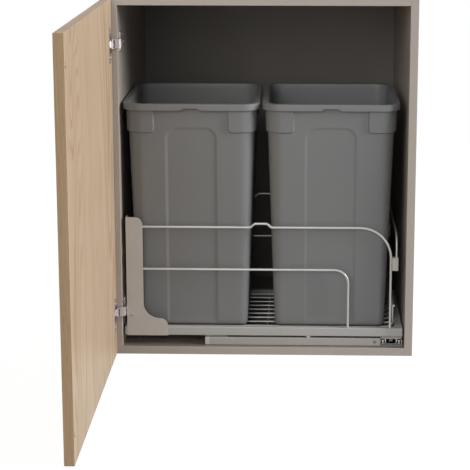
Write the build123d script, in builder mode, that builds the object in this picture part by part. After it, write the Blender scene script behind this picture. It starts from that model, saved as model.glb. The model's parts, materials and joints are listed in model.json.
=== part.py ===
from build123d import *
import math
import os

# A fitted base cabinet with a hinged door and a pull out waste unit for two bins.
# Millimetres. The origin is the centre of the carcass's underside, +Z is up and +Y
# points to the back of the cabinet. The door stands open at a right angle.

# ---------------------------------------------------------------- driving dimensions

# Carcass
cabinet_width = 600
cabinet_height = 720
cabinet_depth = 560
board = 16
back_board = 6
back_inset = 16
groove_depth = 8
edge_round = 0.6
joint_screw_setback = 60
joint_screw_length = 50
joint_screw_radius = 2.8
joint_screw_head_radius = 5
joint_screw_head = 3.2
cap_thickness = 1

# Holes that others use: a worktop above, a neighbour at each side
worktop_hole_radius = 2.5
worktop_hole_inset_x = 60
worktop_hole_inset_y = 50
neighbour_hole_radius = 2.5
neighbour_hole_setback = 24
neighbour_hole_inset = 170

# Door
door_thickness = 18
door_reveal_side = 1.5
door_reveal_end = 3
door_gap = 2
door_round = 1
bumper_radius = 4
bumper_height = 1.7
bumper_inset = 52

# Hinges, in plan from the carcass's front left corner
hinge_end_distance = 90
swing_offset = 2
swing_depth = 1.5
cup_pin_across = 20
cup_pin_deep = 7
link_pivot_offset = 8
hinge_pin_radius = 1.25
pin_running_gap = 0.05
arm_half_width = 9
cheek_thickness = 2
link_side_gap = 0.5
arm_knuckle_radius = 3
link_knuckle_radius = 2.7
link_thickness = 2.4
arm_height = 4.5
arm_sheet = 1.2
arm_length = 60
plate_thickness = 3
plate_screw_setback = 37
plate_screw_spacing = 32
plate_wing = 42
plate_wing_width = 14
plate_body_width = 17
small_screw_radius = 2
small_screw_depth = 11
small_head_radius = 3.6
small_head_height = 1.6
cup_radius = 17.5
cup_wall = 0.8
cup_centre_distance = 22.5
cup_inside_depth = 12
cup_flange = 1.2
cup_flange_height = 70
cup_flange_width = 17
cup_screw_distance = 32
cup_screw_spacing = 48
pocket_edge = 2.2
arm_pocket_gap = 1

# Pull out frame
unit_side_clearance = 3
unit_setback = 10
tube_width = 15
tube_height = 18
tube_wall = 1.5
tube_round = 2
bin_over_frame = 6
end_cap_thickness = 1.5
frame_level = 36
side_wire_radius = 2.5
floor_wire_radius = 2
floor_wire_count = 9
floor_wire_margin = 13
floor_wire_bend = 12
cross_wire_count = 5
cross_wire_margin = 51
cross_wire_shift = 8
upturn_height = 56
long_wire_level = 207
long_wire_inset = 26
long_wire_bend = 62
short_wire_level = 120
short_wire_inset = 111
short_wire_bend = 28
bump_width = 42
bump_slope = 9
bump_rise = 7.5
bump_bend = 5
hoop_height = 192
hoop_bend = 30
clip_width = 12
clip_height = 26
clip_level = 188
clip_wall = 2

# Side brackets
bracket_sheet = 2
bracket_gap = 8.5
bracket_width = 33.5
bracket_foot = 82.5
bracket_height = 245
bracket_top_round = 16
bracket_outer_curve = 17
bracket_foot_flat = 1
bracket_foot_height = 36
bracket_flange = 20
bracket_slot_width = 6
bracket_slot_height = 24
rivet_inset = 11
rivet_rise = 43
rivet_radius = 2.5
rivet_head = 1

# Tie rail between the runners
tie_end_gap = 0.5
tie_level = 16.5
tie_height = 16
tie_depth = 6
tie_sheet = 1.2
tie_hole_radius = 3.2
tie_hole_inset = 11
tie_cap_length = 9
tie_clip_places = (209,)
tie_clip_width = 14
tie_clip_stem = 5

# Runners
runner_length = 350
runner_start = 20
runner_left_inset = 185
runner_right_inset = 23
runner_half_width = 22.5
runner_sheet = 1.2
outer_flange = 2.2
outer_height = 11.5
ball_radius = 1.8
race_gap = 0.1
groove_bite = 0.9
ball_level = 6.5
middle_flange = 4
middle_lift = 2.3
middle_height = 11
inner_flange = 2.2
inner_lift = 4.7
inner_height = 14.8
cage_sheet = 0.5
cage_strip = 0.7
cage_height = 6
cage_length = 90
cage_centre = 195
balls_per_strip = 3
ball_pitch = 30
runner_screw_places = (55, 185, 315)
runner_screw_radius = 2
runner_screw_head_radius = 3.4
runner_screw_head = 0.8
carrier_width = 24
carrier_sheet = 1.5
carrier_plate_width = 43
carrier_plate_gap = 1
lever_length = 52
lever_thickness = 4
lever_tip_width = 7
lever_root_width = 10
lever_pin_radius = 1.5
lever_setback = 19.5

# Bins
bin_left_gap = 4
bin_right_gap = 15
bin_between = 5
bin_rim_depth = 300
bin_top = 510
bin_wall = 2.4
bin_body_inset = 9.5
bin_base_inset = 25
bin_base_corner = 14
bin_base_round = 7
rim_corner = 36
rim_height = 13
rim_sheet = 3
rim_skirt = 2.4
rim_round = 1.2
rim_notch_width = 39
rim_notch_slope = 6
rim_notch_height = 4.3
panel_width = 98
panel_height = 409
panel_round = 22
panel_depth = 1.6
corner_block_width = 53
corner_block_height = 45
corner_block_round = 8
corner_block_rise = 4
bin_seat_gap = 0.3

# ------------------------------------------------------------------ places worked out

front_y = -cabinet_depth / 2
rear_y = cabinet_depth / 2
inner_half = cabinet_width / 2 - board
floor_z = board

door_width = cabinet_width - 2 * door_reveal_side
door_height = cabinet_height - 2 * door_reveal_end


def plan(x, y):
    """Turn a plan point from the carcass's front left corner into the part's frame."""
    return (-cabinet_width / 2 + x, front_y + y)


swing_centre = Vector(door_reveal_side + swing_offset, -(door_gap + swing_depth))
cup_pin_closed = swing_centre + Vector(cup_pin_across, -cup_pin_deep)
cup_pin_open = swing_centre + Vector(-cup_pin_deep, -cup_pin_across)
pivot_direction = Vector(cup_pin_across - cup_pin_deep, -cup_pin_across - cup_pin_deep).normalized()
link_pivot = swing_centre + pivot_direction * link_pivot_offset
link_length = (cup_pin_open - link_pivot).length
link_angle = math.degrees(math.atan2(cup_pin_open.Y - link_pivot.Y, cup_pin_open.X - link_pivot.X))
link_half_width = arm_half_width - cheek_thickness - link_side_gap

# The open door's inner face and hinge edge, in plan
door_face_x = swing_centre.X + swing_depth
door_edge_y = swing_centre.Y + swing_offset
door_face = Plane(
    origin=(*plan(door_face_x, door_edge_y), 0), x_dir=(0, -1, 0), z_dir=(-1, 0, 0)
)
hinge_levels = {
    "bottom": hinge_end_distance,
    "top": cabinet_height - hinge_end_distance,
}

unit_half = inner_half - unit_side_clearance
tube_spacing = bin_rim_depth - 2 * bin_over_frame - tube_width
near_tube_y = front_y + unit_setback + bracket_sheet + tube_width / 2
far_tube_y = near_tube_y + tube_spacing
unit_middle_y = (near_tube_y + far_tube_y) / 2
frame_top = frame_level + tube_height
wire_inset = tube_width / 2 - side_wire_radius
near_wire_y = near_tube_y - wire_inset
far_wire_y = far_tube_y + wire_inset
cross_wire_z = frame_level + tube_height / 2
floor_wire_z = cross_wire_z + 2 * floor_wire_radius
bin_bottom = floor_wire_z + floor_wire_radius + bin_seat_gap
floor_wire_pitch = (tube_spacing - tube_width - 2 * floor_wire_margin) / (floor_wire_count - 1)
cross_wire_pitch = 2 * (unit_half - cross_wire_margin) / (cross_wire_count - 1)
hoop_reach = unit_half - tube_width
upturn_x = hoop_reach - 2 * floor_wire_radius
long_wire_reach = unit_half - long_wire_inset
short_wire_reach = unit_half - short_wire_inset

bin_rim_width = (2 * inner_half - bin_left_gap - bin_right_gap - bin_between) / 2
left_bin_x = -inner_half + bin_left_gap + bin_rim_width / 2
right_bin_x = inner_half - bin_right_gap - bin_rim_width / 2
bump_left = (left_bin_x + right_bin_x - bump_width) / 2
bump_right = bump_left + bump_width
bracket_left = -inner_half + bracket_gap
bracket_inner_curve = bracket_foot - bracket_width - bracket_outer_curve - bracket_foot_flat

runner_left = -unit_half + runner_left_inset
runner_right = unit_half - runner_right_inset
tie_left = runner_left - runner_half_width + tie_end_gap
tie_right = runner_right - runner_half_width + tie_end_gap

outer_ball_x = runner_half_width - outer_flange - (ball_radius + race_gap) + groove_bite
middle_outer_x = outer_ball_x - (ball_radius + race_gap) + groove_bite
middle_inner_x = middle_outer_x - middle_flange
inner_ball_x = middle_inner_x - (ball_radius + race_gap) + groove_bite
inner_outer_x = inner_ball_x - (ball_radius + race_gap) + groove_bite
carrier_z = floor_z + inner_height
tie_top = tie_level + tie_height

os.makedirs("parts", exist_ok=True)


def keep(part, name):
    """Label a finished piece and write its file."""
    part.label = name
    export_step(part, f"parts/{name}.step")


# ----------------------------------------------------------------------------- carcass

joint_rows = (
    front_y + joint_screw_setback,
    0,
    rear_y - joint_screw_setback,
)
joint_levels = (board / 2, cabinet_height - board / 2)
joint_places = [(y, z) for y in joint_rows for z in joint_levels]
groove_y = rear_y - back_inset - back_board / 2
head_recess = cap_thickness + joint_screw_head


def build_side(side, name):
    """One side board: grooved for the back, drilled for its joints and its neighbour."""
    with BuildPart() as panel:
        with Locations((side * (cabinet_width - board) / 2, 0, cabinet_height / 2)):
            Box(board, cabinet_depth, cabinet_height)
        front_edges = panel.edges().filter_by(Axis.Z).group_by(Axis.Y)[0]
        fillet(front_edges, edge_round)
        with Locations((side * (inner_half + groove_depth / 2), groove_y, cabinet_height / 2)):
            Box(groove_depth, back_board, cabinet_height - board, mode=Mode.SUBTRACT)
        for y, z in joint_places:
            with Locations(Plane(origin=(side * cabinet_width / 2, y, z), z_dir=(side, 0, 0))):
                CounterBoreHole(joint_screw_radius, joint_screw_head_radius, head_recess, board)
        for z in (neighbour_hole_inset, cabinet_height - neighbour_hole_inset):
            centre = (side * cabinet_width / 2, front_y + neighbour_hole_setback, z)
            with Locations(Plane(origin=centre, z_dir=(side, 0, 0))):
                Hole(neighbour_hole_radius, board)
        if side < 0:
            for level in hinge_levels.values():
                for y, z in plate_screw_places(level):
                    with Locations(Plane(origin=(-inner_half, y, z), z_dir=(1, 0, 0))):
                        Hole(small_screw_radius, small_screw_depth)
    keep(panel.part, name)


def plate_screw_places(level):
    """The two screws of one hinge's mounting plate, as (y, z)."""
    y = front_y + plate_screw_setback
    return [(y, level - plate_screw_spacing / 2), (y, level + plate_screw_spacing / 2)]


def drill_board_ends():
    """Pilot holes for the joint screws in both ends of the board being built."""
    depth = joint_screw_length - board + head_recess
    for side in (-1, 1):
        for y in joint_rows:
            for z in joint_levels:
                with Locations(Plane(origin=(side * inner_half, y, z), z_dir=(side, 0, 0))):
                    Hole(joint_screw_radius, depth)


build_side(-1, "side_panel_left")
build_side(1, "side_panel_right")

with BuildPart() as bottom_panel:
    with Locations((0, 0, board / 2)):
        Box(2 * inner_half, cabinet_depth, board)
    fillet(bottom_panel.edges().filter_by(Axis.X).group_by(Axis.Y)[0], edge_round)
    with Locations((0, groove_y, board - groove_depth / 2)):
        Box(2 * inner_half, back_board, groove_depth, mode=Mode.SUBTRACT)
    drill_board_ends()
    for runner_x in (runner_left, runner_right):
        for place in runner_screw_places:
            with Locations((runner_x, front_y + runner_start + place, floor_z)):
                Hole(runner_screw_radius, small_screw_depth)
keep(bottom_panel.part, "bottom_panel")

with BuildPart() as top_panel:
    with Locations((0, 0, cabinet_height - board / 2)):
        Box(2 * inner_half, cabinet_depth, board)
    fillet(top_panel.edges().filter_by(Axis.X).group_by(Axis.Y)[0], edge_round)
    with Locations((0, groove_y, cabinet_height - board + groove_depth / 2)):
        Box(2 * inner_half, back_board, groove_depth, mode=Mode.SUBTRACT)
    drill_board_ends()
    with Locations((0, 0, cabinet_height)):
        with GridLocations(
            cabinet_width - 2 * worktop_hole_inset_x, cabinet_depth - 2 * worktop_hole_inset_y, 2, 2
        ):
            Hole(worktop_hole_radius, board)
keep(top_panel.part, "top_panel")

with BuildPart() as back_panel:
    with Locations((0, groove_y, cabinet_height / 2)):
        Box(2 * (inner_half + groove_depth), back_board, cabinet_height - 2 * (board - groove_depth))
keep(back_panel.part, "back_panel")

with BuildPart() as joint_screws:
    for side in (-1, 1):
        for y, z in joint_places:
            with BuildSketch(Plane(
                origin=(side * (cabinet_width / 2 - cap_thickness), y, z),
                x_dir=(0, 1, 0), z_dir=(-side, 0, 0),
            )):
                Circle(joint_screw_head_radius)
            extrude(amount=joint_screw_head)
            with BuildSketch(Plane(
                origin=(side * (cabinet_width / 2 - head_recess), y, z),
                x_dir=(0, 1, 0), z_dir=(-side, 0, 0),
            )):
                Circle(joint_screw_radius)
            extrude(amount=joint_screw_length)
keep(joint_screws.part, "joint_screws")

with BuildPart() as screw_caps:
    for side in (-1, 1):
        for y, z in joint_places:
            with Locations(Plane(origin=(side * cabinet_width / 2, y, z), z_dir=(side, 0, 0))):
                Cylinder(
                    joint_screw_head_radius, cap_thickness,
                    align=(Align.CENTER, Align.CENTER, Align.MAX),
                )
keep(screw_caps.part, "screw_caps")

# -------------------------------------------------------------------------------- door

cup_screw_offsets = (-cup_screw_spacing / 2, cup_screw_spacing / 2)
slot_half_height = arm_half_width + arm_pocket_gap


def door_plane(depth):
    """A plane parallel to the open door's inner face, at a depth into the leaf."""
    return door_face.offset(depth)


with BuildPart() as door_leaf:
    with BuildSketch(door_face):
        with Locations((door_width / 2, cabinet_height / 2)):
            Rectangle(door_width, door_height)
    extrude(amount=door_thickness)
    fillet(door_leaf.edges(), door_round)
    for level in hinge_levels.values():
        with BuildSketch(door_face):
            with Locations((cup_centre_distance, level)):
                Circle(cup_radius)
        extrude(amount=cup_inside_depth + cup_wall, mode=Mode.SUBTRACT)
        with BuildSketch(door_face):
            with Locations(((pocket_edge + cup_centre_distance) / 2, level)):
                Rectangle(cup_centre_distance - pocket_edge, 2 * slot_half_height)
        extrude(amount=cup_inside_depth, mode=Mode.SUBTRACT)
        with BuildSketch(door_face):
            for offset in cup_screw_offsets:
                with Locations((cup_screw_distance, level + offset)):
                    Circle(small_screw_radius)
        extrude(amount=small_screw_depth, mode=Mode.SUBTRACT)
keep(door_leaf.part, "door_leaf")

with BuildPart() as door_bumpers:
    with BuildSketch(door_face):
        for level in (door_reveal_end + bumper_inset, cabinet_height - door_reveal_end - bumper_inset):
            with Locations((door_width - board / 2, level)):
                Circle(bumper_radius)
    extrude(amount=-bumper_height)
    chamfer(door_bumpers.edges().group_by(Axis.X)[-1], bumper_height / 3)
keep(door_bumpers.part, "door_bumpers")

# ------------------------------------------------------------------------------ hinges

arm_foot_x = board + plate_thickness
arm_back_x = arm_foot_x + arm_height
nose_x = link_pivot.X
nose_y = link_pivot.Y
strip_y = -(door_gap + 3.5)
cheek_outline = [
    (arm_back_x, arm_length),
    (arm_back_x, -1),
    (arm_foot_x + 1, strip_y),
    (nose_x + 5, strip_y),
    (nose_x + arm_knuckle_radius, nose_y),
    (nose_x - arm_knuckle_radius, nose_y),
    (nose_x - 1.8, nose_y + 2.4),
    (nose_x + 1, -1),
    (arm_foot_x, -1),
    (arm_foot_x, arm_length),
]
web_outline = [
    (arm_back_x, arm_length),
    (arm_back_x, -1),
    (arm_foot_x + 1, strip_y),
    (nose_x + 5, strip_y),
    (nose_x + 5, strip_y + arm_sheet),
    (arm_foot_x + 0.4, strip_y + arm_sheet),
    (arm_back_x - arm_sheet, -0.6),
    (arm_back_x - arm_sheet, arm_length),
]
adjuster_places = (0.3 * arm_length, 0.75 * arm_length)
adjuster_radius = 3
adjuster_height = 0.8


def build_hinge(name, level):
    """The cabinet side and the link of one concealed hinge, centred at a level."""
    with BuildPart() as plate:
        wall = Plane(origin=(-inner_half, 0, 0), x_dir=(0, 1, 0), z_dir=(1, 0, 0))
        with BuildSketch(wall):
            with Locations((front_y + (arm_length + 6) / 2, level)):
                RectangleRounded(arm_length - 2, plate_body_width, 3)
            with Locations((front_y + plate_screw_setback, level)):
                RectangleRounded(plate_wing_width, plate_wing, 6)
        extrude(amount=plate_thickness)
        for y, z in plate_screw_places(level):
            with Locations(Plane(origin=(-inner_half + plate_thickness, y, z), z_dir=(1, 0, 0))):
                CounterBoreHole(
                    small_screw_radius, small_head_radius, small_head_height, plate_thickness
                )
    keep(plate.part, f"hinge_plate_{name}")

    with BuildPart() as arm:
        for cheek_z in (level - arm_half_width, level + arm_half_width - cheek_thickness):
            with BuildSketch(Plane.XY.offset(cheek_z)):
                with BuildLine():
                    Polyline(*[plan(x, y) for x, y in cheek_outline], close=True)
                make_face()
                with Locations(plan(nose_x, nose_y)):
                    Circle(arm_knuckle_radius)
                    Circle(hinge_pin_radius, mode=Mode.SUBTRACT)
            extrude(amount=cheek_thickness)
        with BuildSketch(Plane.XY.offset(level - arm_half_width + cheek_thickness)):
            with BuildLine():
                Polyline(*[plan(x, y) for x, y in web_outline], close=True)
            make_face()
        extrude(amount=2 * (arm_half_width - cheek_thickness))
        for place in adjuster_places:
            centre = (*plan(arm_back_x, place), level)
            with Locations(Plane(origin=centre, z_dir=(1, 0, 0))):
                Hole(adjuster_radius, arm_sheet)
    keep(arm.part, f"hinge_arm_{name}")

    with BuildPart() as link:
        with BuildSketch(Plane.XY.offset(level - link_half_width)):
            with Locations(Location((*plan(
                (link_pivot.X + cup_pin_open.X) / 2, (link_pivot.Y + cup_pin_open.Y) / 2
            ), 0), (0, 0, link_angle))):
                Rectangle(link_length, link_thickness)
            for pivot in (link_pivot, cup_pin_open):
                with Locations(plan(pivot.X, pivot.Y)):
                    Circle(link_knuckle_radius)
            for pivot in (link_pivot, cup_pin_open):
                with Locations(plan(pivot.X, pivot.Y)):
                    Circle(hinge_pin_radius + pin_running_gap, mode=Mode.SUBTRACT)
        extrude(amount=2 * link_half_width)
    keep(link.part, f"hinge_link_{name}")


def build_cup(name, level):
    """The steel cup in the door, with its flange and the way in for the arm."""
    with BuildPart() as cup:
        with BuildSketch(door_plane(-cup_flange)):
            with Locations((cup_centre_distance, level)):
                Circle(cup_radius + 2)
            with Locations((cup_screw_distance, level)):
                RectangleRounded(cup_flange_width, cup_flange_height, 7)
        extrude(amount=cup_flange)
        with BuildSketch(door_face):
            with Locations((cup_centre_distance, level)):
                Circle(cup_radius)
        extrude(amount=cup_inside_depth + cup_wall)
        with BuildSketch(door_plane(-cup_flange)):
            with Locations((cup_centre_distance, level)):
                Circle(cup_radius - cup_wall)
            with Locations((cup_centre_distance / 2 - 1, level)):
                Rectangle(cup_centre_distance + 2, 2 * slot_half_height)
        extrude(amount=cup_flange + cup_inside_depth, mode=Mode.SUBTRACT)
        with BuildSketch(door_plane(-cup_flange)):
            for offset in cup_screw_offsets:
                with Locations((cup_screw_distance, level + offset)):
                    Circle(small_screw_radius)
        extrude(amount=cup_flange, mode=Mode.SUBTRACT)
        with Locations((*plan(cup_pin_open.X, cup_pin_open.Y), level)):
            Cylinder(hinge_pin_radius, 2 * (cup_radius - 0.3), mode=Mode.SUBTRACT)
    keep(cup.part, f"hinge_cup_{name}")


for hinge_name, hinge_level in hinge_levels.items():
    build_hinge(hinge_name, hinge_level)
    build_cup(hinge_name, hinge_level)

with BuildPart() as arm_pins:
    for level in hinge_levels.values():
        with Locations((*plan(link_pivot.X, link_pivot.Y), level)):
            Cylinder(hinge_pin_radius, 2 * arm_half_width)
keep(arm_pins.part, "hinge_arm_pins")

with BuildPart() as cup_pins:
    for level in hinge_levels.values():
        with Locations((*plan(cup_pin_open.X, cup_pin_open.Y), level)):
            Cylinder(hinge_pin_radius, 2 * (cup_radius - 0.3))
keep(cup_pins.part, "hinge_cup_pins")

with BuildPart() as plate_screws:
    for level in hinge_levels.values():
        for y, z in plate_screw_places(level):
            with Locations(Plane(origin=(-inner_half + plate_thickness, y, z), z_dir=(1, 0, 0))):
                Cylinder(
                    small_head_radius, small_head_height,
                    align=(Align.CENTER, Align.CENTER, Align.MAX),
                )
                Cylinder(
                    small_screw_radius, plate_thickness + small_screw_depth,
                    align=(Align.CENTER, Align.CENTER, Align.MAX),
                )
        for place in adjuster_places:
            centre = (*plan(arm_back_x + adjuster_height, place), level)
            with Locations(Plane(origin=centre, z_dir=(1, 0, 0))):
                Cylinder(
                    adjuster_radius, adjuster_height + arm_height,
                    align=(Align.CENTER, Align.CENTER, Align.MAX),
                )
keep(plate_screws.part, "hinge_plate_screws")

with BuildPart() as cup_screws:
    with BuildSketch(door_plane(-cup_flange)):
        for level in hinge_levels.values():
            for offset in cup_screw_offsets:
                with Locations((cup_screw_distance, level + offset)):
                    Circle(small_head_radius)
    extrude(amount=-small_head_height)
    chamfer(cup_screws.edges().group_by(Axis.X)[-1], small_head_height / 3)
    with BuildSketch(door_plane(-cup_flange)):
        for level in hinge_levels.values():
            for offset in cup_screw_offsets:
                with Locations((cup_screw_distance, level + offset)):
                    Circle(small_screw_radius)
    extrude(amount=cup_flange + small_screw_depth)
keep(cup_screws.part, "hinge_cup_screws")

# ------------------------------------------------------------------- pull out frame


def add_wire(points, bend, radius):
    """Sweep one round wire along straight runs and equal bends into the part being built."""
    with BuildLine() as route:
        FilletPolyline(*points, radius=bend)
    with BuildSketch(Plane(origin=route.line @ 0, z_dir=route.line % 0)) as section:
        Circle(radius)
    sweep(section.sketch, path=route.line)


def add_rod(start, end, radius):
    """Add one straight round wire between two points to the part being built."""
    run = Vector(*end) - Vector(*start)
    with BuildSketch(Plane(origin=start, z_dir=run)) as section:
        Circle(radius)
    extrude(section.sketch, amount=run.length)


def build_cross_tube(name, y):
    """A box tube across the unit's width, open at both ends."""
    with BuildPart() as tube:
        with BuildSketch(Plane.YZ.offset(-unit_half + end_cap_thickness)):
            with Locations((y, frame_level + tube_height / 2)):
                RectangleRounded(tube_width, tube_height, tube_round)
                Rectangle(
                    tube_width - 2 * tube_wall, tube_height - 2 * tube_wall, mode=Mode.SUBTRACT
                )
        extrude(amount=2 * (unit_half - end_cap_thickness))
    keep(tube.part, name)


def build_end_tube(name, side):
    """A box tube from the near tube to the far tube at one end of the unit."""
    with BuildPart() as tube:
        with BuildSketch(Plane.XZ.offset(-(near_tube_y + tube_width / 2))):
            with Locations((side * (unit_half - tube_width / 2), frame_level + tube_height / 2)):
                RectangleRounded(tube_width, tube_height, tube_round)
                Rectangle(
                    tube_width - 2 * tube_wall, tube_height - 2 * tube_wall, mode=Mode.SUBTRACT
                )
        extrude(amount=-(tube_spacing - tube_width))
    keep(tube.part, name)


build_cross_tube("front_rail", near_tube_y)
build_cross_tube("rear_rail", far_tube_y)
build_end_tube("left_end_tube", -1)
build_end_tube("right_end_tube", 1)

with BuildPart() as tube_end_caps:
    for y in (near_tube_y, far_tube_y):
        for side in (-1, 1):
            with BuildSketch(Plane(
                origin=(side * unit_half, y, frame_level + tube_height / 2),
                x_dir=(0, 1, 0), z_dir=(-side, 0, 0),
            )):
                RectangleRounded(tube_width, tube_height, tube_round)
            extrude(amount=end_cap_thickness)
keep(tube_end_caps.part, "tube_end_caps")


def build_bracket(name, face_y, fold):
    """A folded sheet bracket at the unit's left; fold is the way its flange points."""
    low = frame_level
    high = frame_level + bracket_height
    inner = bracket_left + bracket_width
    foot = bracket_left + bracket_foot
    with BuildPart() as bracket:
        with BuildSketch(Plane(origin=(0, face_y, 0), x_dir=(1, 0, 0), z_dir=(0, -1, 0))) as face:
            with BuildLine():
                Polyline(
                    (bracket_left, low), (bracket_left, high), (inner, high),
                    (inner, low + bracket_foot_height), (foot, low + bracket_foot_height),
                    (foot, low),
                    close=True,
                )
            make_face()
            rounded = (
                (inner, high, bracket_top_round),
                (inner, low + bracket_foot_height, bracket_inner_curve),
                (foot, low + bracket_foot_height, bracket_outer_curve),
            )
            for x, z, radius in rounded:
                fillet(face.vertices().sort_by_distance((x, z, 0))[0], radius)
        extrude(amount=-fold * bracket_sheet)
        with BuildSketch(Plane(
            origin=(bracket_left, 0, 0), x_dir=(0, 1, 0), z_dir=(1, 0, 0)
        )):
            with Locations((
                face_y + fold * (bracket_sheet + bracket_flange) / 2,
                frame_top + (high - frame_top) / 2,
            )):
                Rectangle(bracket_sheet + bracket_flange, high - frame_top - 2)
                with GridLocations(0, 2 * bracket_slot_height, 1, 3):
                    SlotCenterToCenter(
                        bracket_slot_height - bracket_slot_width, bracket_slot_width,
                        rotation=90, mode=Mode.SUBTRACT,
                    )
        extrude(amount=bracket_sheet)
    keep(bracket.part, name)


near_bracket_y = near_tube_y - tube_width / 2 - bracket_sheet
far_bracket_y = far_tube_y + tube_width / 2 + bracket_sheet
build_bracket("front_bracket", near_bracket_y, 1)
build_bracket("rear_bracket", far_bracket_y, -1)

with BuildPart() as bracket_rivets:
    for y, fold in ((near_bracket_y, 1), (far_bracket_y, -1)):
        centre = (bracket_left + rivet_inset, y, frame_level + rivet_rise)
        with BuildSketch(Plane(origin=centre, x_dir=(1, 0, 0), z_dir=(0, -fold, 0))):
            Circle(rivet_radius)
        extrude(amount=rivet_head)
    chamfer(bracket_rivets.edges().group_by(Axis.Y)[0], rivet_head / 2)
    chamfer(bracket_rivets.edges().group_by(Axis.Y)[-1], rivet_head / 2)
keep(bracket_rivets.part, "bracket_rivets")


def build_side_wires(where, y):
    """The long and the short guard wire of one side, from the bracket down to the rail."""
    start = bracket_left + 8
    long_z = frame_top + long_wire_level
    short_z = frame_top + short_wire_level
    with BuildPart() as long_wire:
        straight_in = [(start, y, long_z), (bump_left, y, long_z)]
        bump = [
            (bump_left + bump_slope, y, long_z + bump_rise),
            (bump_right - bump_slope, y, long_z + bump_rise),
            (bump_right, y, long_z),
        ]
        with BuildLine() as route:
            FilletPolyline(
                *straight_in, *bump, (long_wire_reach, y, long_z), (long_wire_reach, y, frame_top),
                radius=[bump_bend] * 4 + [long_wire_bend],
            )
        with BuildSketch(Plane(origin=route.line @ 0, z_dir=route.line % 0)):
            Circle(side_wire_radius)
        sweep()
    keep(long_wire.part, f"{where}_long_wire")
    with BuildPart() as short_wire:
        add_wire(
            [(start, y, short_z), (short_wire_reach, y, short_z), (short_wire_reach, y, frame_top)],
            short_wire_bend, side_wire_radius,
        )
    keep(short_wire.part, f"{where}_short_wire")


build_side_wires("front", near_wire_y)
build_side_wires("rear", far_wire_y)

with BuildPart() as floor_wires:
    for index in range(floor_wire_count):
        y = unit_middle_y + (index - (floor_wire_count - 1) / 2) * floor_wire_pitch
        add_wire(
            [
                (-unit_half + tube_width, y, floor_wire_z),
                (upturn_x, y, floor_wire_z),
                (upturn_x, y, floor_wire_z + upturn_height - 3 * floor_wire_radius),
            ],
            floor_wire_bend, floor_wire_radius,
        )
    add_rod(
        (upturn_x, near_wire_y - 2, floor_wire_z + upturn_height - 2 * floor_wire_radius),
        (upturn_x, far_wire_y + 2, floor_wire_z + upturn_height - 2 * floor_wire_radius),
        floor_wire_radius,
    )
keep(floor_wires.part, "floor_wires")

with BuildPart() as cross_wires:
    for index in range(cross_wire_count):
        x = cross_wire_shift + (index - (cross_wire_count - 1) / 2) * cross_wire_pitch
        add_rod(
            (x, near_tube_y + tube_width / 2, cross_wire_z),
            (x, far_tube_y - tube_width / 2, cross_wire_z),
            floor_wire_radius,
        )
keep(cross_wires.part, "cross_wires")

with BuildPart() as end_hoop:
    add_wire(
        [
            (hoop_reach, near_wire_y, clip_level - clip_height / 2),
            (hoop_reach, near_wire_y, frame_top + hoop_height),
            (hoop_reach, far_wire_y, frame_top + hoop_height),
            (hoop_reach, far_wire_y, clip_level - clip_height / 2),
        ],
        hoop_bend, floor_wire_radius,
    )
keep(end_hoop.part, "end_hoop")

clip_left = long_wire_reach + side_wire_radius
clip_right = hoop_reach + floor_wire_radius + clip_wall
with BuildPart() as wire_clips:
    for y in (near_wire_y, far_wire_y):
        with Locations(((clip_left + clip_right) / 2, y, clip_level)):
            Box(clip_right - clip_left, clip_width, clip_height)
    fillet(wire_clips.edges().filter_by(Axis.Z), 2.5)
    for y in (near_wire_y, far_wire_y):
        with Locations((hoop_reach, y, clip_level)):
            Cylinder(floor_wire_radius, clip_height, mode=Mode.SUBTRACT)
        with Locations((long_wire_reach, y, clip_level)):
            Cylinder(side_wire_radius, clip_height, mode=Mode.SUBTRACT)
keep(wire_clips.part, "wire_clips")

# ---------------------------------------------------------------------- carriage

near_tie_y = near_tube_y - tube_width / 2
with BuildPart() as tie_rail:
    with BuildSketch(Plane.YZ.offset(tie_left + tie_cap_length)):
        with Locations((near_tie_y + tie_depth / 2, tie_level + tie_height / 2)):
            RectangleRounded(tie_depth, tie_height, 1.2)
            Rectangle(tie_depth - 2 * tie_sheet, tie_height - 2 * tie_sheet, mode=Mode.SUBTRACT)
    extrude(amount=tie_right - tie_left - tie_cap_length)
    hole_centre = (tie_right - tie_hole_inset, near_tie_y, tie_level + tie_height / 2)
    with Locations(Plane(origin=hole_centre, z_dir=(0, -1, 0))):
        Hole(tie_hole_radius, tie_sheet)
keep(tie_rail.part, "tie_rail")

with BuildPart() as tie_rail_cap:
    with BuildSketch(Plane.YZ.offset(tie_left)):
        with Locations((near_tie_y + tie_depth / 2, tie_level + tie_height / 2)):
            RectangleRounded(tie_depth, tie_height, 1.2)
    extrude(amount=tie_cap_length)
keep(tie_rail_cap.part, "tie_rail_cap")

clip_rise = frame_level - tie_top
with BuildPart() as tie_rail_clips:
    for place in tie_clip_places:
        with BuildSketch(Plane(
            origin=(tie_left + place, near_tie_y + 1, tie_top), x_dir=(1, 0, 0), z_dir=(0, -1, 0)
        )):
            with BuildLine():
                Polyline(
                    (-tie_clip_stem / 2, 0), (-tie_clip_stem / 2, clip_rise / 2),
                    (-tie_clip_width / 2, clip_rise), (tie_clip_width / 2, clip_rise),
                    (tie_clip_stem / 2, clip_rise / 2), (tie_clip_stem / 2, 0),
                    close=True,
                )
            make_face()
        extrude(amount=-(tie_depth - 2))
keep(tie_rail_clips.part, "tie_rail_clips")


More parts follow.
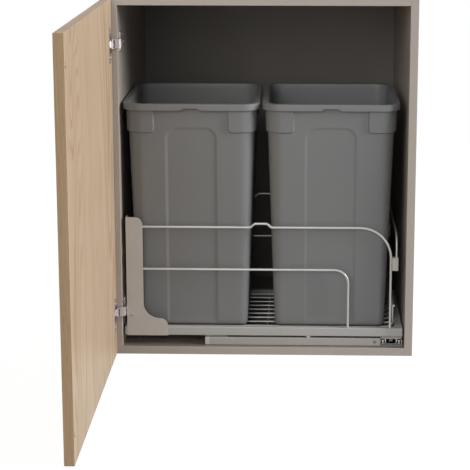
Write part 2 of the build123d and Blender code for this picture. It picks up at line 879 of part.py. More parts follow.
def build_carrier(name, x):
    """A channel with a front plate that joins one runner's inner member to the unit's tubes."""
    start = near_tube_y - tube_width / 2 + tie_depth + 1
    length = far_tube_y + tube_width / 2 - start
    rise = frame_level - carrier_z
    with BuildPart() as carrier:
        with BuildSketch(Plane.XZ.offset(-start)):
            with Locations((x, carrier_z + rise / 2)):
                Rectangle(carrier_width, rise)
            with Locations((x, carrier_z + (rise + carrier_sheet) / 2)):
                Rectangle(
                    carrier_width - 2 * carrier_sheet, rise - carrier_sheet, mode=Mode.SUBTRACT
                )
        extrude(amount=-length)
        with BuildSketch(Plane.XZ.offset(-(front_y + runner_start))):
            with Locations((x, carrier_z - carrier_plate_gap + rise / 2)):
                Rectangle(carrier_plate_width, rise)
        extrude(amount=carrier_sheet)
    keep(carrier.part, name)


build_carrier("carrier_left", runner_left)
build_carrier("carrier_right", runner_right)

# ----------------------------------------------------------------------- runners

race_radius = ball_radius + race_gap
ball_z = floor_z + ball_level
run_start = front_y + runner_start


def section_plane(start):
    """A plane across the runners, whose normal points to the cabinet's front."""
    return Plane.XZ.offset(-start)


def build_outer_member(name, x):
    """The channel screwed to the floor, with a ball race in each flange."""
    with BuildPart() as member:
        with BuildSketch(section_plane(run_start)):
            with Locations((x, floor_z + outer_height / 2)):
                Rectangle(2 * runner_half_width, outer_height)
            with Locations((x, floor_z + (outer_height + runner_sheet) / 2)):
                Rectangle(
                    2 * (runner_half_width - outer_flange), outer_height - runner_sheet,
                    mode=Mode.SUBTRACT,
                )
            with Locations((x - outer_ball_x, ball_z), (x + outer_ball_x, ball_z)):
                Circle(race_radius, mode=Mode.SUBTRACT)
        extrude(amount=-runner_length)
        for place in runner_screw_places:
            with Locations((x, run_start + place, floor_z + runner_sheet)):
                CounterBoreHole(
                    runner_screw_radius, runner_screw_head_radius, runner_screw_head, runner_sheet
                )
    keep(member.part, name)


def build_middle_member(name, x):
    """The middle channel: its thick flanges carry a ball race on both sides."""
    flange_x = (middle_outer_x + middle_inner_x) / 2
    height = middle_height - middle_lift
    with BuildPart() as member:
        with BuildSketch(section_plane(run_start)):
            with Locations((x, floor_z + middle_lift + runner_sheet / 2)):
                Rectangle(2 * middle_outer_x, runner_sheet)
            for offset in (-flange_x, flange_x):
                with Locations((x + offset, floor_z + middle_lift + height / 2)):
                    Rectangle(middle_flange, height)
            for offset in (outer_ball_x, inner_ball_x):
                with Locations((x - offset, ball_z), (x + offset, ball_z)):
                    Circle(race_radius, mode=Mode.SUBTRACT)
        extrude(amount=-runner_length)
    keep(member.part, name)


def build_inner_member(name, x):
    """The inner channel, open below, that carries the unit."""
    height = inner_height - inner_lift
    with BuildPart() as member:
        with BuildSketch(section_plane(run_start)):
            with Locations((x, floor_z + inner_lift + height / 2)):
                Rectangle(2 * inner_outer_x, height)
            with Locations((x, floor_z + inner_lift + (height - runner_sheet) / 2)):
                Rectangle(
                    2 * (inner_outer_x - inner_flange), height - runner_sheet, mode=Mode.SUBTRACT
                )
            with Locations((x - inner_ball_x, ball_z), (x + inner_ball_x, ball_z)):
                Circle(race_radius, mode=Mode.SUBTRACT)
        extrude(amount=-runner_length)
    keep(member.part, name)


def build_cages(name, ball_x, web_z):
    """The two ball cages of one stage, each a folded strip with its balls."""
    first_ball = -(balls_per_strip - 1) / 2 * ball_pitch
    middle_y = front_y + cage_centre
    ball_places = [
        (x + side * ball_x, middle_y + first_ball + index * ball_pitch, ball_z)
        for x in (runner_left, runner_right)
        for side in (-1, 1)
        for index in range(balls_per_strip)
    ]
    strip_top = ball_z + cage_height / 2
    with BuildPart() as cages:
        for x in (runner_left, runner_right):
            with BuildSketch(section_plane(middle_y - cage_length / 2)):
                with Locations((x, web_z + (strip_top - web_z) / 2)):
                    Rectangle(2 * ball_x + cage_strip, strip_top - web_z)
                with Locations((x, web_z + cage_sheet + (strip_top - web_z - cage_sheet) / 2)):
                    Rectangle(
                        2 * ball_x - cage_strip, strip_top - web_z - cage_sheet,
                        mode=Mode.SUBTRACT,
                    )
            extrude(amount=-cage_length)
        with Locations(*ball_places):
            Cylinder(
                ball_radius + 0.05, 4 * cage_strip, rotation=(0, 90, 0), mode=Mode.SUBTRACT
            )
    keep(cages.part, f"{name}_cages")
    with BuildPart() as balls:
        with Locations(*ball_places):
            Sphere(ball_radius)
    keep(balls.part, f"{name}_balls")


for runner_name, runner_x in (("left", runner_left), ("right", runner_right)):
    build_outer_member(f"runner_outer_{runner_name}", runner_x)
    build_middle_member(f"runner_middle_{runner_name}", runner_x)
    build_inner_member(f"runner_inner_{runner_name}", runner_x)

build_cages("outer", outer_ball_x, floor_z + runner_sheet + 0.3)
build_cages("inner", inner_ball_x, floor_z + middle_lift + runner_sheet + 0.3)

with BuildPart() as runner_screws:
    for x in (runner_left, runner_right):
        for place in runner_screw_places:
            with Locations((x, run_start + place, floor_z + runner_sheet)):
                Cylinder(
                    runner_screw_head_radius, runner_screw_head,
                    align=(Align.CENTER, Align.CENTER, Align.MAX),
                )
                Cylinder(
                    runner_screw_radius, runner_sheet + small_screw_depth,
                    align=(Align.CENTER, Align.CENTER, Align.MAX),
                )
keep(runner_screws.part, "runner_screws")

lever_z = floor_z + inner_height - runner_sheet - lever_thickness - 1
lever_pivot_y = front_y + lever_setback + lever_length


def build_lever(name, x):
    """The plastic finger that lets one inner member go; it turns on an upright pin."""
    with BuildPart() as lever:
        with BuildSketch(Plane.XY.offset(lever_z)):
            with BuildLine():
                Polyline(
                    (x - lever_tip_width / 2, front_y + lever_setback),
                    (x + lever_tip_width / 2, front_y + lever_setback),
                    (x + lever_root_width / 2, lever_pivot_y),
                    (x - lever_root_width / 2, lever_pivot_y),
                    close=True,
                )
            make_face()
            with Locations((x, lever_pivot_y)):
                Circle(lever_root_width / 2)
                Circle(lever_pin_radius + pin_running_gap, mode=Mode.SUBTRACT)
        extrude(amount=lever_thickness)
    keep(lever.part, f"release_lever_{name}")


build_lever("left", runner_left)
build_lever("right", runner_right)

with BuildPart() as lever_pins:
    pin_top = floor_z + inner_height - runner_sheet
    for x in (runner_left, runner_right):
        with Locations((x, lever_pivot_y, pin_top)):
            Cylinder(
                lever_pin_radius, pin_top - lever_z + 0.5,
                align=(Align.CENTER, Align.CENTER, Align.MAX),
            )
keep(lever_pins.part, "lever_pins")

# --------------------------------------------------------------------------- bins

rim_level = bin_top - rim_height
body_slope = (bin_base_inset - bin_body_inset) / (bin_top - bin_bottom)


def add_tapered_body(x, growth, low, high, mode=Mode.ADD):
    """Extrude the bin's tapered body, grown outwards, between two levels."""
    spread = body_slope * (low - bin_bottom) + growth
    with BuildSketch(Plane.XY.offset(low)) as section:
        with Locations((x, unit_middle_y)):
            RectangleRounded(
                bin_rim_width - 2 * bin_base_inset + 2 * spread,
                bin_rim_depth - 2 * bin_base_inset + 2 * spread,
                bin_base_corner + spread,
            )
    extrude(
        section.sketch, amount=high - low, taper=-math.degrees(math.atan(body_slope)), mode=mode
    )


def panel_slabs(x, growth, surface):
    """The bin's panel outline front and back, outside the body shrunk to a surface."""
    with BuildPart() as slabs:
        with BuildSketch(
            Plane(origin=(x, unit_middle_y, bin_bottom), x_dir=(1, 0, 0), z_dir=(0, -1, 0))
        ):
            with Locations((0, (panel_height + growth) / 2)):
                RectangleRounded(
                    panel_width + 2 * growth, panel_height + growth, panel_round + growth
                )
            Rectangle(panel_width + 2 * growth, panel_height)
        extrude(amount=bin_rim_depth, both=True)
        add_tapered_body(
            x, -surface, bin_bottom - bin_wall, bin_bottom + panel_height + panel_round,
            Mode.SUBTRACT,
        )
    return slabs.part


def build_bin(name, x):
    """One moulded bin: sunk panels, corner blocks and a skirted rim over a tapered body."""
    with BuildPart() as corner_blocks:
        add_tapered_body(x, corner_block_rise, rim_level - corner_block_height, rim_level)
        for facing, span in (((0, -1, 0), bin_rim_width), ((1, 0, 0), bin_rim_depth)):
            across = (1, 0, 0) if facing[0] == 0 else (0, 1, 0)
            half_gap = span / 2 - bin_body_inset - corner_block_width
            bottom = rim_level - corner_block_height
            with BuildSketch(Plane(origin=(x, unit_middle_y, bottom), x_dir=across, z_dir=facing)):
                Rectangle(2 * half_gap, 4 * corner_block_height)
                with Locations((0, corner_block_round / 2)):
                    Rectangle(2 * (half_gap + corner_block_round), corner_block_round)
                with Locations(
                    (half_gap + corner_block_round, corner_block_round),
                    (-half_gap - corner_block_round, corner_block_round),
                ):
                    Circle(corner_block_round, mode=Mode.SUBTRACT)
            extrude(amount=bin_rim_depth, both=True, mode=Mode.SUBTRACT)

    with BuildPart() as rim:
        with BuildSketch(Plane.XY.offset(rim_level)):
            with Locations((x, unit_middle_y)):
                RectangleRounded(bin_rim_width, bin_rim_depth, rim_corner)
        extrude(amount=rim_height)
        chamfer(rim.edges().group_by(Axis.Z)[-1], rim_round)
        with BuildSketch(Plane.XY.offset(rim_level)):
            with Locations((x, unit_middle_y)):
                RectangleRounded(
                    bin_rim_width - 2 * rim_skirt, bin_rim_depth - 2 * rim_skirt,
                    rim_corner - rim_skirt,
                )
        extrude(amount=rim_height - rim_sheet, mode=Mode.SUBTRACT)
        with BuildSketch(Plane(origin=(x, unit_middle_y, rim_level), x_dir=(1, 0, 0), z_dir=(0, -1, 0))):
            with BuildLine():
                Polyline(
                    (-rim_notch_width / 2, -1), (-rim_notch_width / 2, 0),
                    (rim_notch_slope - rim_notch_width / 2, rim_notch_height),
                    (rim_notch_width / 2 - rim_notch_slope, rim_notch_height),
                    (rim_notch_width / 2, 0), (rim_notch_width / 2, -1),
                    close=True,
                )
            make_face()
        extrude(amount=bin_rim_depth, both=True, mode=Mode.SUBTRACT)

    with BuildPart() as cavity:
        add_tapered_body(x, -bin_wall, bin_bottom + bin_wall, bin_top + rim_height)
        fillet(cavity.edges().group_by(Axis.Z)[0], bin_base_round - bin_wall)
        add(panel_slabs(x, bin_wall, bin_wall + panel_depth), mode=Mode.SUBTRACT)

    with BuildPart() as moulding:
        add_tapered_body(x, 0, bin_bottom, bin_top - rim_round)
        fillet(moulding.edges().group_by(Axis.Z)[0], bin_base_round)
        add(panel_slabs(x, 0, panel_depth), mode=Mode.SUBTRACT)
        add(corner_blocks.part)
        add(rim.part)
        add(cavity.part, mode=Mode.SUBTRACT)
    keep(moulding.part, name)


build_bin("left_bin", left_bin_x)
build_bin("right_bin", right_bin_x)

# ----------------------------------------------------------------- what the record states

closed_angle = math.degrees(math.atan2(
    cup_pin_closed.Y - link_pivot.Y, cup_pin_closed.X - link_pivot.X
))
print("link pivot", plan(link_pivot.X, link_pivot.Y))
print("cup pin", plan(cup_pin_open.X, cup_pin_open.Y))
print("link turn", closed_angle - link_angle, "door turn on the link", closed_angle - link_angle - 90)
print("bins", left_bin_x, right_bin_x, "rim", bin_rim_width, "tie", tie_left, tie_right)
print("lever pivots", (runner_left, lever_pivot_y), (runner_right, lever_pivot_y))
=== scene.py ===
"""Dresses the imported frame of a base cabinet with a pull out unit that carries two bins."""

import json
import math

import bpy
import numpy as np
from mathutils import Matrix, Vector


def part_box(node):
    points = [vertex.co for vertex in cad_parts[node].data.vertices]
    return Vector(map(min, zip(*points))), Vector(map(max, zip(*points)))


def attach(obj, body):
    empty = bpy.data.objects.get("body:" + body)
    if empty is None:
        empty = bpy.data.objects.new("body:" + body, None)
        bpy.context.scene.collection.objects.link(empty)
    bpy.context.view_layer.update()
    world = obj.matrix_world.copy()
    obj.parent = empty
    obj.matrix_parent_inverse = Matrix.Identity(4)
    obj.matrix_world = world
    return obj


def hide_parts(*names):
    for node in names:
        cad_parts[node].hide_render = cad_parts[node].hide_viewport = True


bl_info = {
    "name": "Pull Out Bin Cabinet",
    "version": (1, 0, 0),
    "blender": (4, 5, 0),
    "location": "View3D > Sidebar > Bin Cabinet",
    "description": "Builds the finished pieces of a base cabinet with two pull out bins",
    "category": "Add Mesh",
}

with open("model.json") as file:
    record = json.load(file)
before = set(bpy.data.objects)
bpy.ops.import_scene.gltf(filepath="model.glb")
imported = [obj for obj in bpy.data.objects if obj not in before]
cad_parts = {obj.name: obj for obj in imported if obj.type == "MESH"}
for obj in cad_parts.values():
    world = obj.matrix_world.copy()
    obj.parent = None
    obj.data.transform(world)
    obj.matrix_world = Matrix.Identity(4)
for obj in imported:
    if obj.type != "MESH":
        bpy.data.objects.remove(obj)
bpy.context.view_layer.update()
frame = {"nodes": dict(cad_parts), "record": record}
MM = 0.001
CARCASS_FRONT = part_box("side_panel_left")[0].y
DOOR_FREE_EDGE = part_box("door_leaf")[0].y

# The floor's half size, its gap under the cabinet, and where its grey begins and ends to fade.
FLOOR_REACH = 9.0
FLOOR_GAP = 0.3 * MM
FLOOR_FADE = (1.1, 3.0)

# Each lamp's name, place, size and the setting that holds its power.
LAMPS = (
    ("key_lamp", (3.6, -0.7, 1.6), 1.9, "key_power"),
    ("fill_lamp", (-0.9, -3.6, 1.9), 2.4, "fill_power"),
    ("back_lamp", (-2.6, 2.4, 1.9), 2.2, "back_power"),
)
LAMP_AIM = (0, -0.25, 0.35)

# The camera that was fitted to the corners of the cabinet and the bins in the picture.
CAMERA_PLACE = (0.073, -3.2474, 0.9823)
CAMERA_PITCH, CAMERA_YAW, CAMERA_ROLL = (math.radians(v) for v in (11.773, -1.417, 0.039))
CAMERA_LENS, SENSOR_WIDTH = 117.736, 36
CAMERA_SHIFT = (-0.06, -0.12)
CAMERA_CLIP = (0.1, 60)


def srgb(red, green, blue):
    """Scene linear colour of a colour as it is seen on a screen, by the usual 2.4 power curve."""
    return tuple(
        c / 12.92 if c <= 0.04045 else ((c + 0.055) / 1.055) ** 2.4
        for c in (red, green, blue)
    )


# ------------------------------------------------------------------ what a user may change


def length(name, value, description):
    return bpy.props.FloatProperty(
        name=name, description=description, default=value * MM, unit="LENGTH", precision=4
    )


def colour(name, value, description):
    return bpy.props.FloatVectorProperty(
        name=name, description=description, default=srgb(*value), subtype="COLOR",
        size=3, min=0, max=1,
    )


def number(name, value, description, **limits):
    return bpy.props.FloatProperty(name=name, description=description, default=value, **limits)


class BinSizes(bpy.types.PropertyGroup):
    wall: length("Wall", 2.4, "Thickness of the moulded wall")
    body_inset: length("Body inset", 9.5, "How far the body lies inside the rim at its top")
    base_inset: length("Base inset", 25, "How far the base lies inside the rim")
    base_corner: length("Base corner", 14, "Corner radius of the base")
    base_round: length("Base round", 7, "Radius between the base and the walls")
    rim_corner: length("Rim corner", 36, "Corner radius of the rim")
    rim_height: length("Rim height", 13, "Height of the rim's skirt")
    rim_sheet: length("Rim sheet", 3, "Thickness of the rim's top")
    rim_skirt: length("Rim skirt", 2.4, "Thickness of the rim's skirt")
    rim_round: length("Rim round", 1.2, "Radius along the top of the rim")
    notch_width: length("Notch width", 39, "Width of the finger notch under the rim")
    notch_slope: length("Notch slope", 6, "Width of the sloping end of the finger notch")
    notch_height: length("Notch height", 4.3, "Height of the finger notch under the rim")
    panel_width: length("Panel width", 98, "Width of the sunk panel front and back")
    panel_height: length("Panel height", 409, "Height of the sunk panel above the base")
    panel_round: length("Panel round", 22, "Radius at the top of the sunk panel")
    panel_depth: length("Panel depth", 1.9, "How far the panel is sunk")
    panel_softness: length("Panel softness", 3.6, "Half the width over which the panel sinks")
    block_width: length("Block width", 53, "Width of the corner blocks under the rim")
    block_height: length("Block height", 45, "Height of the corner blocks under the rim")
    block_round: length("Block round", 8, "Radius at the blocks' inner lower corner")
    block_rise: length("Block rise", 4, "How far the corner blocks stand out")
    block_softness: length("Block softness", 1.5, "Half the width over which a block rises")


class FinishColours(bpy.types.PropertyGroup):
    ash_light: colour("Ash, light", (0.75, 0.667, 0.574), "Pale wood between the grain lines")
    ash_dark: colour("Ash, dark", (0.62, 0.52, 0.413), "Wood in the grain lines")
    ash_edge: colour("Ash, edge", (0.80, 0.685, 0.55), "Band on the door's free upright edge")
    board: colour("Board", (0.70, 0.665, 0.63), "Melamine face of the carcass boards")
    board_edge: colour("Board edge", (0.74, 0.705, 0.67), "Edge band of the carcass boards")
    # The bottom board is the same melamine as the sides; its darker face is painted shade for the
    # shadowed floor inside the cabinet.
    floor_board_painted_shade: colour("Floor board", (0.53, 0.50, 0.47), "Melamine face of the bottom board")
    back: colour("Back board", (0.50, 0.48, 0.455), "Melamine face of the back board")
    bin_grey: colour("Bin plastic", (0.497, 0.503, 0.507), "Moulded plastic of both bins")
    frame_coat: colour("Frame coat", (0.738, 0.735, 0.727), "Powder coat of rails and tubes")
    # The brackets carry the same coat as the frame; this warmer, paler tone is painted warm light
    # thrown on them by the open door.
    bracket_coat_painted_light: colour("Bracket coat", (0.80, 0.78, 0.76), "Warmer powder coat of the brackets")
    tie_coat: colour("Tie rail coat", (0.695, 0.69, 0.68), "Darker powder coat of the tie rail")
    wire_coat: colour("Wire coat", (0.74, 0.735, 0.725), "Coat of the wires")
    nickel: colour("Nickel", (0.76, 0.73, 0.725), "Plating of the hinges")
    zinc: colour("Zinc", (0.60, 0.60, 0.60), "Plating of screws, pins and rivets")
    runner: colour("Runner steel", (0.70, 0.70, 0.70), "Plating of the runners")
    white: colour("White plastic", (0.80, 0.79, 0.75), "Clips")
    clear: colour("Clear plastic", (0.83, 0.77, 0.69), "Door buffers")
    grey: colour("Grey plastic", (0.50, 0.50, 0.50), "Levers, caps and plugs")


class StageSettings(bpy.types.PropertyGroup):
    key_power: number("Key lamp", 185, "Power of the large lamp at the right", unit="POWER")
    fill_power: number("Fill lamp", 52, "Power of the soft lamp in front", unit="POWER")
    back_power: number("Back lamp", 80, "Power of the lamp behind at the left", unit="POWER")
    sky: number("Sky", 0.12, "Even light from all round", min=0, max=2)
    floor_grey: number("Floor grey", 0.25, "How light the floor is", min=0, max=1)
    floor_glow: number("Floor glow", 0.86, "What the camera sees added on the floor", min=0, max=1)


# ------------------------------------------------------------------ meshes

SMOOTH_ANGLE = math.radians(32)


def is_inside_out(points, faces):
    """Sums the volumes of the tetrahedra from the origin to each face; below 0 is inside out."""
    volume = 0.0
    for corners in faces:
        p = points[corners]
        for k in range(1, p.shape[1] - 1):
            volume += np.einsum("ij,ij->i", p[:, 0], np.cross(p[:, k], p[:, k + 1])).sum()
    return volume < 0


def add_piece(name, points, faces, body, material, replaces):
    """Makes a mesh that rides on a body, from points (n x 3) and faces: a list of integer
    arrays with the corner numbers of one face in each row."""
    if is_inside_out(points, faces):
        faces = [f[:, ::-1] for f in faces]
    mesh = bpy.data.meshes.new(name)
    mesh.from_pydata(points.tolist(), [], [c for f in faces for c in f.tolist()])
    mesh.polygons.foreach_set("use_smooth", np.ones(len(mesh.polygons), bool))
    mesh.set_sharp_from_angle(angle=SMOOTH_ANGLE)
    mesh.materials.append(material)
    piece = bpy.data.objects.new(name, mesh)
    bpy.context.scene.collection.objects.link(piece)
    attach(piece, body)
    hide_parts(*replaces)


def grid_faces(rows, columns, start):
    """Corner numbers of the quads between neighbouring rows of a grid whose columns close
    round; start is the number of the grid's first point."""
    r = np.arange(rows - 1)[:, None] * columns + start
    c = np.arange(columns)[None, :]
    n = (c + 1) % columns
    return np.stack([r + c, r + n, r + columns + n, r + columns + c], -1).reshape(-1, 4)


def closed_shell(rings):
    """Points and faces of a shell from rings (rows x columns x 3): quads between the rings,
    and triangles to the single points that the first and the last ring draw together to."""
    rows, columns = rings.shape[:2]
    points = np.concatenate([rings[:1].mean(1), rings[1:-1].reshape(-1, 3), rings[-1:].mean(1)])
    column = np.arange(columns)
    following = (column + 1) % columns
    last = 1 + (rows - 3) * columns
    end = len(points) - 1
    return points, [
        grid_faces(rows - 2, columns, start=1),
        np.stack([np.zeros_like(column), 1 + following, 1 + column], -1),
        np.stack([np.full_like(column, end), last + column, last + following], -1),
    ]


def smooth_step(value):
    """0 below 0, 1 above 1, and 3v^2 - 2v^3 between."""
    v = np.clip(value, 0, 1)
    return v * v * (3 - 2 * v)


def in_box_corner(across, up, radius):
    """Signed distance into the quarter across > 0, up > 0 whose corner is rounded: the lesser
    of both, or next to the corner the radius less the distance from the corner's centre."""
    a, u = across - radius, up - radius
    outside = np.hypot(np.minimum(a, 0), np.minimum(u, 0))
    return np.where((a < 0) & (u < 0), radius - outside, np.minimum(across, up))


# ------------------------------------------------------------------ shader nodes

VECTOR, FLOAT, COLOR = "NodeSocketVector", "NodeSocketFloat", "NodeSocketColor"


def add_node(tree, kind, inputs=None, **settings):
    """One node with its settings; an input takes a value or the socket that feeds it."""
    made = tree.nodes.new(kind)
    for key, value in settings.items():
        setattr(made, key, value)
    for key, value in (inputs or {}).items():
        if isinstance(value, bpy.types.NodeSocket):
            tree.links.new(value, made.inputs[key])
        else:
            made.inputs[key].default_value = value
    return made


def maths(tree, operation, *values, clamp=False):
    return add_node(
        tree, "ShaderNodeMath", dict(enumerate(values)), operation=operation, use_clamp=clamp
    ).outputs[0]


def remap(tree, value, low, high, to_low=0.0, to_high=1.0):
    return add_node(
        tree, "ShaderNodeMapRange",
        {0: value, 1: low, 2: high, 3: to_low, 4: to_high}, interpolation_type="SMOOTHSTEP",
    ).outputs[0]


def noise(tree, vector, scale, detail, roughness=0.5):
    return add_node(
        tree, "ShaderNodeTexNoise",
        {"Vector": vector, "Scale": scale, "Detail": detail, "Roughness": roughness},
    ).outputs[0]


def stretched(tree, vector, scale):
    return add_node(
        tree, "ShaderNodeMapping", {"Vector": vector, "Scale": scale}, vector_type="POINT"
    ).outputs[0]


def mix_colours(tree, factor, first, second, blend="MIX"):
    return add_node(
        tree, "ShaderNodeMix", {0: factor, 6: first, 7: second},
        data_type="RGBA", blend_type=blend,
    ).outputs[2]


def vector_maths(tree, operation, first, second):
    return add_node(
        tree, "ShaderNodeVectorMath", {0: first, 1: second}, operation=operation
    ).outputs[0]


def along_axis(tree, vector, axis):
    return add_node(tree, "ShaderNodeSeparateXYZ", {0: vector}).outputs[axis]


def opaque(value):
    return (*value, 1)


def shaded(value, share):
    return [c * share for c in value]


def laid_over(tree, base, mask, share, tone):
    """The base colour with a tone over it, by a share of a mask."""
    return mix_colours(tree, maths(tree, "MULTIPLY", mask, share), base, opaque(tone))


def raised_by(tree, start, *terms):
    """A start value plus each mask times its share."""
    for mask, share in terms:
        start = maths(tree, "ADD", start, maths(tree, "MULTIPLY", mask, share))
    return start


def new_group(name, inputs, outputs):
    """An empty shader node group: its tree, and its inputs and outputs by name."""
    tree = bpy.data.node_groups.new(name, "ShaderNodeTree")
    for label, kind, default in inputs:
        socket = tree.interface.new_socket(label, in_out="INPUT", socket_type=kind)
        if default is not None:
            socket.default_value = default
    for label, kind in outputs:
        tree.interface.new_socket(label, in_out="OUTPUT", socket_type=kind)
    given, out = tree.nodes.new("NodeGroupInput"), tree.nodes.new("NodeGroupOutput")
    return tree, given.outputs, out.inputs


# ------------------------------------------------------------------ shader groups


def build_ash_group():
    """Growth rings as level lines of a noise field, fine straight fibres and short open pores,
    all drawn out along the upright axis and bent a little by a slow noise."""
    tree, given, out = new_group(
        "Ash grain",
        [("Vector", VECTOR, None), ("Light", COLOR, (0.6, 0.5, 0.4, 1)),
         ("Dark", COLOR, (0.4, 0.3, 0.2, 1)), ("Figure", FLOAT, 0.5), ("Pores", FLOAT, 0.5)],
        [("Color", COLOR), ("Height", FLOAT), ("Roughness", FLOAT)],
    )
    ring_count = 600.0
    bend_reach = (0.04, 0.05)
    fibre_share = broad_share = 0.20
    plain_rough, dark_rough = 0.40, 0.16

    bend = noise(tree, stretched(tree, given["Vector"], (2, 2, 1.1)), 2.2, 2)
    aside = add_node(tree, "ShaderNodeCombineXYZ", {
        axis: maths(tree, "MULTIPLY", bend, reach) for axis, reach in enumerate(bend_reach)})
    bent = vector_maths(tree, "ADD", given["Vector"], aside.outputs[0])

    def drawn_out(stretch, detail, roughness):
        return noise(tree, stretched(tree, bent, stretch), 1.0, detail, roughness)

    broad = drawn_out((9, 9, 0.5), 2, 0.5)
    field = drawn_out((3.4, 3.4, 0.15), 2, 0.45)
    fibres = drawn_out((420, 420, 6), 2, 0.6)
    pores = remap(tree, drawn_out((900, 900, 34), 1, 0.4), 0.60, 0.72)
    rings = maths(tree, "SINE", maths(tree, "MULTIPLY", field, ring_count))
    lines = maths(tree, "MULTIPLY", remap(tree, rings, -0.2, 1.0), remap(tree, broad, 0.2, 0.75))
    shade = raised_by(
        tree, maths(tree, "MULTIPLY", lines, given["Figure"]),
        (remap(tree, fibres, 0.30, 0.72), fibre_share),
        (remap(tree, broad, 0.3, 0.7), broad_share))
    shade = maths(tree, "ADD", shade, maths(tree, "MULTIPLY", pores, given["Pores"]), clamp=True)
    height = maths(tree, "SUBTRACT", maths(tree, "MULTIPLY", fibres, 0.5), pores)
    tree.links.new(mix_colours(tree, shade, given["Light"], given["Dark"]), out["Color"])
    tree.links.new(height, out["Height"])
    tree.links.new(raised_by(tree, plain_rough, (shade, dark_rough)), out["Roughness"])
    return tree


def build_grain_group():
    """Fine leather-like grain of a mould or a powder coat: noise plus rounded cells."""
    tree, given, out = new_group(
        "Surface grain",
        [("Vector", VECTOR, None), ("Scale", FLOAT, 900.0)],
        [("Height", FLOAT), ("Mask", FLOAT)],
    )
    cell_share = 0.6
    fine = noise(tree, given["Vector"], given["Scale"], 2, 0.6)
    cells = add_node(
        tree, "ShaderNodeTexVoronoi", {"Vector": given["Vector"], "Scale": given["Scale"]},
        feature="SMOOTH_F1",
    ).outputs[0]
    tree.links.new(raised_by(tree, fine, (cells, cell_share)), out["Height"])
    tree.links.new(remap(tree, fine, 0.35, 0.65), out["Mask"])
    return tree


def build_wear_group():
    """Cloudy handling marks and thin scuffs that run level, as masks from 0 to Amount."""
    tree, given, out = new_group(
        "Handling wear",
        [("Vector", VECTOR, None), ("Amount", FLOAT, 0.5)],
        [("Clouds", FLOAT), ("Scuffs", FLOAT)],
    )
    clouds = remap(tree, noise(tree, given["Vector"], 7.0, 4, 0.6), 0.42, 0.72)
    lines = noise(tree, stretched(tree, given["Vector"], (16, 16, 420)), 1.0, 2, 0.5)
    spots = noise(tree, given["Vector"], 11.0, 2)
    scuffs = maths(
        tree, "MULTIPLY", remap(tree, lines, 0.66, 0.74), remap(tree, spots, 0.52, 0.66))
    tree.links.new(maths(tree, "MULTIPLY", clouds, given["Amount"]), out["Clouds"])
    tree.links.new(maths(tree, "MULTIPLY", scuffs, given["Amount"]), out["Scuffs"])
    return tree


def build_dust_group():
    """Dust that lies where a surface faces up, broken by noise."""
    tree, given, out = new_group(
        "Settled dust", [("Vector", VECTOR, None), ("Amount", FLOAT, 0.3)], [("Mask", FLOAT)])
    normal = add_node(tree, "ShaderNodeNewGeometry").outputs["Normal"]
    level = remap(tree, along_axis(tree, normal, 2), 0.55, 0.98)
    broken = remap(tree, noise(tree, given["Vector"], 60.0, 4, 0.65), 0.38, 0.7)
    mask = maths(tree, "MULTIPLY", level, broken)
    tree.links.new(maths(tree, "MULTIPLY", mask, given["Amount"]), out["Mask"])
    return tree


def build_brush_group():
    """Fine drawn lines along one axis, as left by rolling or brushing a strip."""
    tree, given, out = new_group(
        "Drawn lines",
        [("Vector", VECTOR, None), ("Stretch", VECTOR, (40.0, 900.0, 900.0))],
        [("Height", FLOAT), ("Mask", FLOAT)],
    )
    drawn = vector_maths(tree, "MULTIPLY", given["Vector"], given["Stretch"])
    lines = noise(tree, drawn, 1.0, 3, 0.6)
    tree.links.new(lines, out["Height"])
    tree.links.new(remap(tree, lines, 0.3, 0.7), out["Mask"])
    return tree


GROUP_BUILDERS = {
    "ash": build_ash_group, "grain": build_grain_group, "wear": build_wear_group,
    "dust": build_dust_group, "brush": build_brush_group,
}
GROUPS = {}


def shared_group(name):
    """A shader node group, built when it is first asked for."""
    if name not in GROUPS:
        GROUPS[name] = GROUP_BUILDERS[name]()
    return GROUPS[name]


def use_group(tree, name, inputs):
    return add_node(tree, "ShaderNodeGroup", inputs, node_tree=shared_group(name)).outputs


# ------------------------------------------------------------------ materials

VENEER_BAND = 1.0 * MM
BOARD_BAND = 0.9 * MM
BOARD_SEAM = (1.0 * MM, 0.14 * MM)


def start_material(name):
    """An empty principled material: (material, tree, shader, object coordinates)."""
    material = bpy.data.materials.new(name)
    material.use_nodes = True
    tree = material.node_tree
    shader = tree.nodes["Principled BSDF"]
    place = add_node(tree, "ShaderNodeTexCoord").outputs["Object"]
    return material, tree, shader, place


def add_bump(tree, shader, height, distance, strength):
    """Bump of a depth in metres that feeds the shader's normal."""
    bump = add_node(
        tree, "ShaderNodeBump", {"Height": height, "Distance": distance, "Strength": strength})
    tree.links.new(bump.outputs[0], shader.inputs["Normal"])


def ash_wood(name, light, dark, edge):
    """Matt veneer on both faces; the millimetre next to the free upright edge is its band."""
    material, tree, shader, place = start_material(name)
    ash = use_group(tree, "ash", {
        "Vector": place, "Light": opaque(light), "Dark": opaque(dark),
        "Figure": 0.45, "Pores": 0.26})
    band = maths(tree, "LESS_THAN", along_axis(tree, place, 1), DOOR_FREE_EDGE + VENEER_BAND)
    edge_share = opaque([e / l for e, l in zip(edge, light)])
    tint = mix_colours(tree, 1.0, ash["Color"], edge_share, blend="MULTIPLY")
    tree.links.new(mix_colours(tree, band, ash["Color"], tint), shader.inputs["Base Color"])
    tree.links.new(ash["Roughness"], shader.inputs["Roughness"])
    shader.inputs["Specular IOR Level"].default_value = 0.05
    add_bump(tree, shader, ash["Height"], 0.12 * MM, 0.6)
    return material


